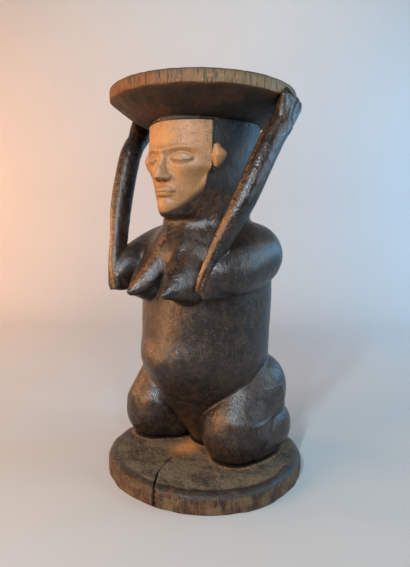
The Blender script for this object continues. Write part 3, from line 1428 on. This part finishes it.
class WoodColours(PropertyGroup):
    """Colours of the wood and its stain"""

    stain: tone("Stain", "The dark stain of the body", (0.0075, 0.0066, 0.0056))
    worn_stain: tone("Thin stain", "Stain that has worn thin", (0.105, 0.05, 0.021))
    bare: tone("Bare wood", "Wood rubbed bare on edges", (0.44, 0.19, 0.062))
    hair: tone("Hair", "The stain of the hair", (0.006, 0.0063, 0.0064))
    face: tone("Face", "The unstained wood of the face", (0.82, 0.41, 0.135))
    face_shade: tone("Face, aged", "Greyer and older places on the face", (0.50, 0.29, 0.11))
    rim: tone("Rim", "The seat's worn rim", (0.10, 0.032, 0.008))
    rim_grey: tone("Rim, greyed", "Greyed places on the rim", (0.18, 0.128, 0.064))
    dust: tone("Dust", "Dust on the base's top and on the figure", (0.125, 0.10, 0.062))
    dirt: tone("Dirt", "Dirt in hollows and cracks", (0.006, 0.0045, 0.004))


def figure_finish(name, c):
    """Carved and stained wood, worn thin and bare on edges, with a face left unstained."""
    f = Finish(name)
    edge, swell, hollow, worn, pale, hair, line, hatch, polish = map(
        f.mark, ("edge", "swell", "hollow", "worn", "pale", "hair", "line", "hatch", "polish")
    )
    patch = f.grain((30, 30, 44), 6, 0.65)
    mottle = f.grain(9, 5, 0.65, place=(3, 1, 7))
    fibre = f.grain((2.6, 2.6, 34), 4, 0.6)
    hairline = f.grain((1.2, 1.2, 12), 3, 0.6)
    speck = f.grain(2.8, 3, 0.6, place=(9, 2, 4))
    scratch = f.grain((1.3, 1.5, 17), 1, 0.5, turn=(0.3, 0.4, 0.1), place=(5, 5, 5))
    cross = f.grain((1.5, 14, 1.4), 1, 0.5, turn=(0.5, 0.2, 0.9), place=(2, 6, 5))
    thin = patch.rise(0.44, 0.6) * 0.6 + fibre.rise(0.46, 0.62) * 0.35 + mottle.rise(0.46, 0.6) * 0.45 - 0.2
    stain = f.blend(thin, c.stain, c.worn_stain)
    stain = f.blend(mottle.rise(0.42, 0.6) * speck.rise(0.42, 0.6) * 0.5, stain, c.dust)
    rub = worn * (0.2 + 1.8 * mottle) + edge.rise(0.05, 0.5) * mottle.rise(0.35, 0.6) - hollow * 0.8
    rub = (rub + swell.rise(0.6, 3.0) * patch.rise(0.48, 0.62) * 0.35 - speck.rise(0.5, 0.64) * 0.45).held()
    fleck = speck.rise(0.66, 0.74) * 0.4 + (scratch.rise(0.66, 0.72) + cross.rise(0.68, 0.74)) * 0.45
    body = f.blend(rub, stain, c.bare)
    body = f.blend(rub * worn * (1 - speck).rise(0.5, 0.62) * 0.6, body, c.face)
    body = f.blend(hatch * fibre.rise(0.3, 0.6) * 0.6, body, c.bare)
    body = f.blend(fleck, body, c.bare)
    dark_hair = f.blend(fibre.rise(0.5, 0.75) * 0.25, c.hair, c.worn_stain)
    body = f.blend(hair, body, dark_hair)
    age = patch.rise(0.42, 0.62) * 0.6 + mottle.rise(0.45, 0.66) * 0.5 + fibre.rise(0.5, 0.66) * 0.4
    light = f.blend(age, c.face, c.face_shade)
    light = f.blend(hollow * 0.75, light, c.worn_stain)
    light = f.blend(fleck * 0.8, light, c.worn_stain)
    edge_of_pale = (pale + (mottle - 0.5) * 0.5 * (1 - pale) * pale * 4).held()
    colour = f.blend(edge_of_pale, body, light)
    colour = f.blend(hollow.rise(0.2, 0.8) * 0.75 * (1 - pale), colour, c.dirt)
    colour = f.blend(line * 0.85, colour, c.dirt)
    rough = 0.21 + 0.26 * mottle - 0.1 * worn - 0.12 * polish
    rough = rough + 0.16 * edge_of_pale + 0.12 * scratch.rise(0.66, 0.78) + 0.16 * hair
    nicks = 1 - (scratch.rise(0.66, 0.76) + cross.rise(0.7, 0.78)).held()
    body_wood = 1 - 0.6 * edge_of_pale
    normal = f.bumped(
        (mottle * body_wood, 0.85), (fibre * body_wood, 0.35), (hairline, 0.2), (nicks, 0.4),
        (speck * body_wood, 0.35),
    )
    return f.done(colour, rough, normal, Specular_IOR_Level=0.55)


def base_finish(name, c):
    """Dusty top, fibrous side and polished bevel of the base."""
    f = Finish(name)
    side, bevel, cleft, contact, warm = map(f.mark, ("side", "bevel", "cleft", "contact", "warm"))
    patch = f.grain((38, 26, 30), 5, 0.65)
    mottle = f.grain(9, 6, 0.7, place=(2, 8, 3))
    dusty = f.grain(3.6, 5, 0.7, place=(7, 7, 1))
    fibre = f.grain((2.4, 2.4, 18), 4, 0.65)
    fine = f.grain((1.2, 1.2, 8), 3, 0.6)
    ring = f.grain((60, 1.8, 60), 3, 0.6, turn=(0, 0, 0.7))
    dusted = patch.rise(0.36, 0.62) * 0.5 + dusty.rise(0.4, 0.66) * 0.5 + ring.rise(0.5, 0.7) * 0.2
    top = f.blend(dusted, c.stain, c.dust)
    top = f.blend(mottle.rise(0.56, 0.74) * 0.5, top, c.worn_stain)
    flank = f.blend(fibre.rise(0.36, 0.64) * 0.7 + mottle.rise(0.42, 0.66) * 0.4, c.stain, c.worn_stain)
    flank = f.blend(fine.rise(0.55, 0.75) * 0.6, flank, c.stain)
    flank = f.blend(patch.rise(0.46, 0.62) * 0.5, flank, c.rim_grey)
    colour = f.blend(side, top, flank)
    rubbed = f.blend(mottle.rise(0.5, 0.75) * 0.5, c.stain, c.worn_stain)
    colour = f.blend(bevel * (0.35 + 0.9 * patch), colour, rubbed)
    colour = f.blend(warm * (0.3 + mottle), colour, c.bare)
    ring_of_dust = contact.rise(0.45, 0.75) * (1 - contact.rise(0.78, 0.9)) * dusty.rise(0.35, 0.65) * 0.5
    colour = f.blend(ring_of_dust, colour, c.bare)
    colour = f.blend(contact.rise(0.8, 1.0), colour, c.dirt)
    colour = f.blend(cleft.rise(0.25, 0.8), colour, c.dirt)
    rough = 0.62 + 0.2 * dusty - 0.36 * bevel
    normal = f.bumped(
        (mottle, 0.9), (fibre * side, 0.9), (fine * side, 0.3), (dusty, 0.3), (ring * (1 - side), 0.4)
    )
    return f.done(colour, rough, normal, Specular_IOR_Level=0.35)


def rim_finish(name, c):
    """The rim's worn wood with its greyed places, dark edge and drying cracks."""
    f = Finish(name)
    side, worn, cleft, weather = map(f.mark, ("side", "worn", "cleft", "weather"))
    patch = f.grain((30, 30, 22), 5, 0.6)
    mottle = f.grain(8, 5, 0.65, place=(1, 4, 9))
    fibre = f.grain((2.4, 2.4, 20), 4, 0.65)
    fine = f.grain((1.2, 1.2, 8), 3, 0.6)
    rings = f.grain((80, 2.2, 80), 4, 0.6, turn=(0, 0, 0.4))
    flank = f.blend(weather + (patch - 0.5) * 1.5, c.rim, c.rim_grey)
    flank = f.blend(fibre.rise(0.48, 0.66) * 0.75, flank, c.stain)
    flank = f.blend(mottle.rise(0.56, 0.7) * 0.4, flank, c.bare)
    top = f.blend(rings.rise(0.42, 0.66) * 0.8, c.worn_stain, c.rim)
    top = f.blend(patch.rise(0.45, 0.66) * 0.5, top, c.rim_grey)
    colour = f.blend(side, top, flank)
    colour = f.blend(worn * (0.5 + 0.8 * mottle), colour, c.stain)
    colour = f.blend(fine.rise(0.6, 0.76) * 0.5, colour, c.stain)
    colour = f.blend(cleft.rise(0.2, 0.8), colour, c.dirt)
    rough = 0.5 + 0.22 * mottle - 0.1 * worn
    normal = f.bumped((mottle, 0.6), (fibre * side, 0.6), (fine, 0.25), (rings * (1 - side), 0.5))
    return f.done(colour, rough, normal, Specular_IOR_Level=0.3)


def bowl_finish(name, c):
    """Dark adzed wood under the seat, with dirt where the head and the hands meet it."""
    f = Finish(name)
    worn, contact = map(f.mark, ("worn", "contact"))
    patch = f.grain((40, 40, 30), 5, 0.6)
    mottle = f.grain(8, 4, 0.6, place=(6, 1, 2))
    fibre = f.grain((22, 2.0, 22), 4, 0.6, turn=(0, 0, 0.5))
    fine = f.grain((7, 0.7, 7), 2, 0.5, turn=(0, 0, 0.5))
    thin = (patch.rise(0.42, 0.66) * 0.6 + fibre.rise(0.5, 0.72) * 0.4).held()
    colour = f.blend(thin * 0.55, c.stain, c.worn_stain)
    colour = f.blend(worn * (0.3 + 0.9 * mottle), colour, c.worn_stain)
    line = contact.rise(0.55, 0.7) * (1 - contact.rise(0.78, 0.9))
    colour = f.blend(line * mottle.rise(0.45, 0.7) * 0.6, colour, c.worn_stain)
    colour = f.blend(contact.rise(0.85, 1.0), colour, c.dirt)
    rough = 0.5 + 0.25 * mottle
    normal = f.bumped((mottle, 0.6), (fibre, 0.4), (fine, 0.2))
    return f.done(colour, rough, normal, Specular_IOR_Level=0.35)


class BaseSizes(PropertyGroup):
    """Sizes of the base's worn edge and of its drying crack"""

    bevel_w: length("Bevel's width", "Width of the worn bevel", 0.0095)
    bevel_h: length("Bevel's height", "Height of the worn bevel", 0.0065)
    bulge: length("Bulge", "How far the base stands out of round on one side", 0.0062)
    crack_w: length("Crack's width", "Width of the crack at the rim", 0.0032)
    crack_deep: length("Crack's depth", "Depth of the crack at the rim", 0.016)


class SeatSizes(PropertyGroup):
    """Sizes of the seat's rim and of the bowl under it"""

    edge_wave: length("Edge", "How unevenly the rim's lower edge is cut", 0.0012)
    thin_side: length("Thin side", "How much thinner the rim is on one side", 0.0035)
    dish: length("Dish", "Depth of the hollow worn into the seat's top", 0.0014)
    round_edge: length("Rounding", "Rounding of the rim's upper edge", 0.002)
    flat_r: length("Flat", "Radius of the flat under the bowl", 0.076)


carved = {}  # the figure's block, kept for the pieces that meet it
CONTACT_REACH = 8  # how far in front of a round piece the figure is looked for, in millimetres
CONTACT_FADE = 9  # the distance from the figure at which a round piece counts as clear of it


class FigureOperator(Operator):
    """Carves the figure and cuts it into its named pieces"""

    bl_idname = "stool.figure"
    bl_label = "Figure"

    def execute(self, context):
        s = millimetres(context.scene.stool_figure)
        clay = carve_figure(s)
        carved["clay"] = clay
        surface = Surface(*clay.surface())
        names = list(clay.parts)
        number = numbered_faces(s, clay, surface, names)
        normals, marks = finish_carving(s, clay, surface)
        for k, name in enumerate(names):
            points, faces, n, caps, used = cut_out(surface, normals, number == k)
            ob = build_mesh(name + "_carved", points, faces, caps, n, {m: v[used] for m, v in marks.items()})
            stand_for(ob, name, figure_finish)
        return {"FINISHED"}


def round_piece(node, form, marks, finish, cuts):
    """Makes the base, the seat or the bowl from its form, after the tools have gone over it. A cut is a
    choice of faces and a tool."""
    points, quads, tris = form
    surface = Surface(points, quads)
    normals = surface.normals()
    for where, tool in cuts:
        cut = tool_marks(points, normals, where(normals[:, 2]), *tool)
        surface.points = surface.points - normals * (cut * MM)[:, None]
    clay = carved["clay"]
    near = 0
    shares = np.linspace(0, 1, 5)[1:]
    for share in shares:
        distance = clay.read(surface.points + normals * (share * CONTACT_REACH * MM)) / MM
        near = near + np.clip(1 - distance / CONTACT_FADE, 0, 1)
    marks = {**marks, "contact": near / len(shares)}
    ob = build_mesh(node + "_carved", surface.points, quads, tris, None, marks)
    stand_for(ob, node, finish)


def side_faces(rise):
    """Where a surface stands upright, from the rise of its normals."""
    return np.abs(rise) < 0.4


def top_faces(rise):
    """Where a surface faces up."""
    return rise > 0.6


def under_faces(rise):
    """Where a surface faces down."""
    return rise < -0.2


class BaseOperator(Operator):
    """Cuts the round base with its bevel and its drying crack"""

    bl_idname = "stool.base"
    bl_label = "Base"

    def execute(self, context):
        form, marks = base_form(millimetres(context.scene.stool_base))
        cuts = ((side_faces, BASE_SIDE_KNIFE), (top_faces, BASE_TOP_ADZE))
        round_piece("base", form, marks, base_finish, cuts)
        return {"FINISHED"}


class SeatOperator(Operator):
    """Cuts the round seat"""

    bl_idname = "stool.seat"
    bl_label = "Seat"

    def execute(self, context):
        form, marks = seat_form(millimetres(context.scene.stool_seat))
        cuts = ((side_faces, RIM_KNIFE), (top_faces, SEAT_TOP_ADZE))
        round_piece("seat", form, marks, rim_finish, cuts)
        return {"FINISHED"}


class BowlOperator(Operator):
    """Hollows out the wood under the seat"""

    bl_idname = "stool.bowl"
    bl_label = "Underside"

    def execute(self, context):
        form, marks = bowl_form(millimetres(context.scene.stool_seat))
        round_piece("seat_underside", form, marks, bowl_finish, ((under_faces, BOWL_ADZE),))
        return {"FINISHED"}


class StageSettings(PropertyGroup):
    """The strength of the studio's lights and the colour of its paper"""

    warm: power("Warm light", "Power of the warm light on the left", 18)
    cool: power("Cool light", "Power of the cool light on the right", 8)
    fill: power("Fill", "Power of the two lights in front", 24)
    top: power("Top light", "Power of the light from above", 3)
    wall: power("Wall light", "Power of the light on the middle of the backdrop", 8)
    glow_left: power("Left glow", "Power of the orange light on the backdrop", 29)
    glow_right: power("Right glow", "Power of the blue light on the backdrop", 20)
    paper: tone("Paper", "Colour of the floor and the backdrop", (0.36, 0.38, 0.38))


AZIMUTH = math.radians(38)  # the view is from the figure's left front
TOWARD = Vector((math.sin(AZIMUTH), -math.cos(AZIMUTH), 0))
ACROSS = Vector((math.cos(AZIMUTH), math.sin(AZIMUTH), 0))
CAMERA_PLACE = (-0.0035, 0.680, 0.320)  # as numbers for seen_from
CAMERA_PITCH = 0.098  # how far it looks down, in radians
CAMERA_ROLL = 0.016  # how far it leans to one side, in radians
FOCAL_LENGTH = 500  # in pixels of the picture
PICTURE_HEIGHT = 567  # in pixels
SENSOR = 36  # millimetres along the picture's longer side
ROOM_COLOUR = (0.8, 0.8, 0.82, 1)
ROOM_LIGHT = 0.16


def seen_from(across, toward, height):
    """A place in the room: metres to the camera's right, towards it and up."""
    return ACROSS * across + TOWARD * toward + Vector((0, 0, height))


def paper_sheet():
    """A sheet of paper that lies under the stool and curves up behind it. Its sizes are in metres."""
    half_width = 2.6
    front = 2.6
    back = -1.0
    bend = 0.5
    floor = [(front - 0.1 * k, 0.0) for k in range(36)]
    turns = np.radians(np.arange(6, 91, 6))
    curve = [(back - bend * math.sin(a), bend - bend * math.cos(a)) for a in turns]
    wall = [(back - bend, bend + 0.15 * k) for k in range(1, 12)]
    profile = floor + curve + wall
    widths = np.linspace(-half_width, half_width, 30)
    points = np.array([seen_from(w, t, z) for t, z in profile for w in widths])
    n = len(widths)
    i, j = np.meshgrid(np.arange(len(profile) - 1), np.arange(n - 1), indexing="ij")
    faces = np.stack([i * n + j, i * n + j + 1, (i + 1) * n + j + 1, (i + 1) * n + j], -1).reshape(-1, 4)
    return points, faces


def paper_finish(name, colour):
    """Pale matt paper with a faint tooth."""
    f = Finish(name)
    tooth = f.grain(1.2, 3, 0.6)
    cloud = f.grain(240, 2, 0.5)
    shade = tuple(0.94 * v for v in colour)
    normal = f.bumped((tooth, 0.05))
    return f.done(f.blend(cloud, colour, shade), 0.86 + 0.08 * tooth, normal)


def studio_lights(settings):
    """The lights: name, power, size, colour, and then place and aim as numbers for seen_from."""
    white = (1.0, 0.98, 0.96)
    orange = (1.0, 0.44, 0.18)
    blue = (0.25, 0.62, 1.0)
    return (
        ("warm_left", settings.warm, (0.7, 0.9), (1.0, 0.5, 0.22), (-1.0, 0.55, 0.55), (0, 0, 0.25)),
        ("cool_right", settings.cool, (0.4, 1.2), (0.70, 0.86, 1.0), (1.15, 0.25, 0.75), (0, 0, 0.28)),
        ("front", 0.4 * settings.fill, (0.12, 0.4), (0.84, 0.93, 1.0), (0.35, 1.6, 0.95), (0, 0, 0.25)),
        ("front_left", 0.85 * settings.fill, (0.06, 0.5), (0.75, 0.9, 1.0), (-0.42, 1.2, 1.15), (0, 0, 0.3)),
        ("top", settings.top, (1.2, 1.2), white, (0.1, -0.1, 1.8), (0, 0, 0.2)),
        ("glow_left", settings.glow_left, (0.5, 0.5), orange, (-1.5, -0.5, 0.6), (-0.7, -1.5, 0.35)),
        ("wall", settings.wall, (1.4, 0.4), white, (0.1, -0.6, 1.5), (0.1, -1.5, 0.95)),
        ("glow_right", settings.glow_right, (0.5, 0.5), blue, (1.5, -0.6, 0.7), (0.6, -1.5, 0.45)),
    )


def add_light(scene, name, watts, size, colour, place, aim):
    """A flat light at one place of the room, turned towards another."""
    light = bpy.data.lights.new(name, "AREA")
    light.shape = "RECTANGLE"
    light.energy = watts
    light.size, light.size_y = size
    light.color = colour
    ob = bpy.data.objects.new(name, light)
    scene.collection.objects.link(ob)
    ob.location = seen_from(*place)
    ob.rotation_euler = (seen_from(*aim) - seen_from(*place)).to_track_quat("-Z", "Y").to_euler()


def add_camera(scene):
    """The camera, which looks down a little and leans a little to one side."""
    forward = -TOWARD * math.cos(CAMERA_PITCH) - Vector((0, 0, math.sin(CAMERA_PITCH)))
    turn = Matrix((ACROSS, ACROSS.cross(forward), -forward)).transposed().to_4x4()
    data = bpy.data.cameras.new("camera")
    data.sensor_width = SENSOR
    data.lens = SENSOR * FOCAL_LENGTH / PICTURE_HEIGHT
    camera = bpy.data.objects.new("camera", data)
    scene.collection.objects.link(camera)
    place = Matrix.Translation(seen_from(*CAMERA_PLACE))
    camera.matrix_world = place @ turn @ Matrix.Rotation(CAMERA_ROLL, 4, "Z")
    scene.camera = camera


class StageOperator(Operator):
    """Sets up the paper, the lights and the camera"""

    bl_idname = "stool.stage"
    bl_label = "Stage"

    def execute(self, context):
        scene = context.scene
        settings = scene.stool_stage
        paper = build_mesh("paper", *paper_sheet())
        paper.data.materials.append(paper_finish("paper", tuple(settings.paper)))
        for light in studio_lights(settings):
            add_light(scene, *light)
        scene.world = bpy.data.worlds.new("room")
        scene.world.use_nodes = True
        background = scene.world.node_tree.nodes["Background"]
        background.inputs["Color"].default_value = ROOM_COLOUR
        background.inputs["Strength"].default_value = ROOM_LIGHT
        scene.view_settings.view_transform = "Standard"
        add_camera(scene)
        return {"FINISHED"}


class StoolPanel(Panel):
    """Lists the steps that make the stool, and their sizes and colours"""

    bl_idname = "VIEW3D_PT_stool"
    bl_label = "Carved stool"
    bl_space_type = "VIEW_3D"
    bl_region_type = "UI"
    bl_category = "Stool"

    def draw(self, context):
        for step in STEPS:
            self.layout.operator(step.bl_idname)
        for key, group in GROUPS.items():
            box = self.layout.box()
            for name in group.__annotations__:
                box.prop(getattr(context.scene, key), name)


STEPS = (FigureOperator, BaseOperator, SeatOperator, BowlOperator, StageOperator)
GROUPS = {
    "stool_figure": FigureSizes,
    "stool_base": BaseSizes,
    "stool_seat": SeatSizes,
    "stool_wood": WoodColours,
    "stool_stage": StageSettings,
}


def register():
    for cls in (*GROUPS.values(), *STEPS, StoolPanel):
        bpy.utils.register_class(cls)
    for key, group in GROUPS.items():
        setattr(bpy.types.Scene, key, PointerProperty(type=group))


def unregister():
    for key in GROUPS:
        delattr(bpy.types.Scene, key)
    for cls in reversed((*GROUPS.values(), *STEPS, StoolPanel)):
        bpy.utils.unregister_class(cls)


def main():
    register()
    bpy.ops.stool.figure()
    bpy.ops.stool.base()
    bpy.ops.stool.seat()
    bpy.ops.stool.bowl()
    bpy.ops.stool.stage()


if __name__ == "__main__":
    main()
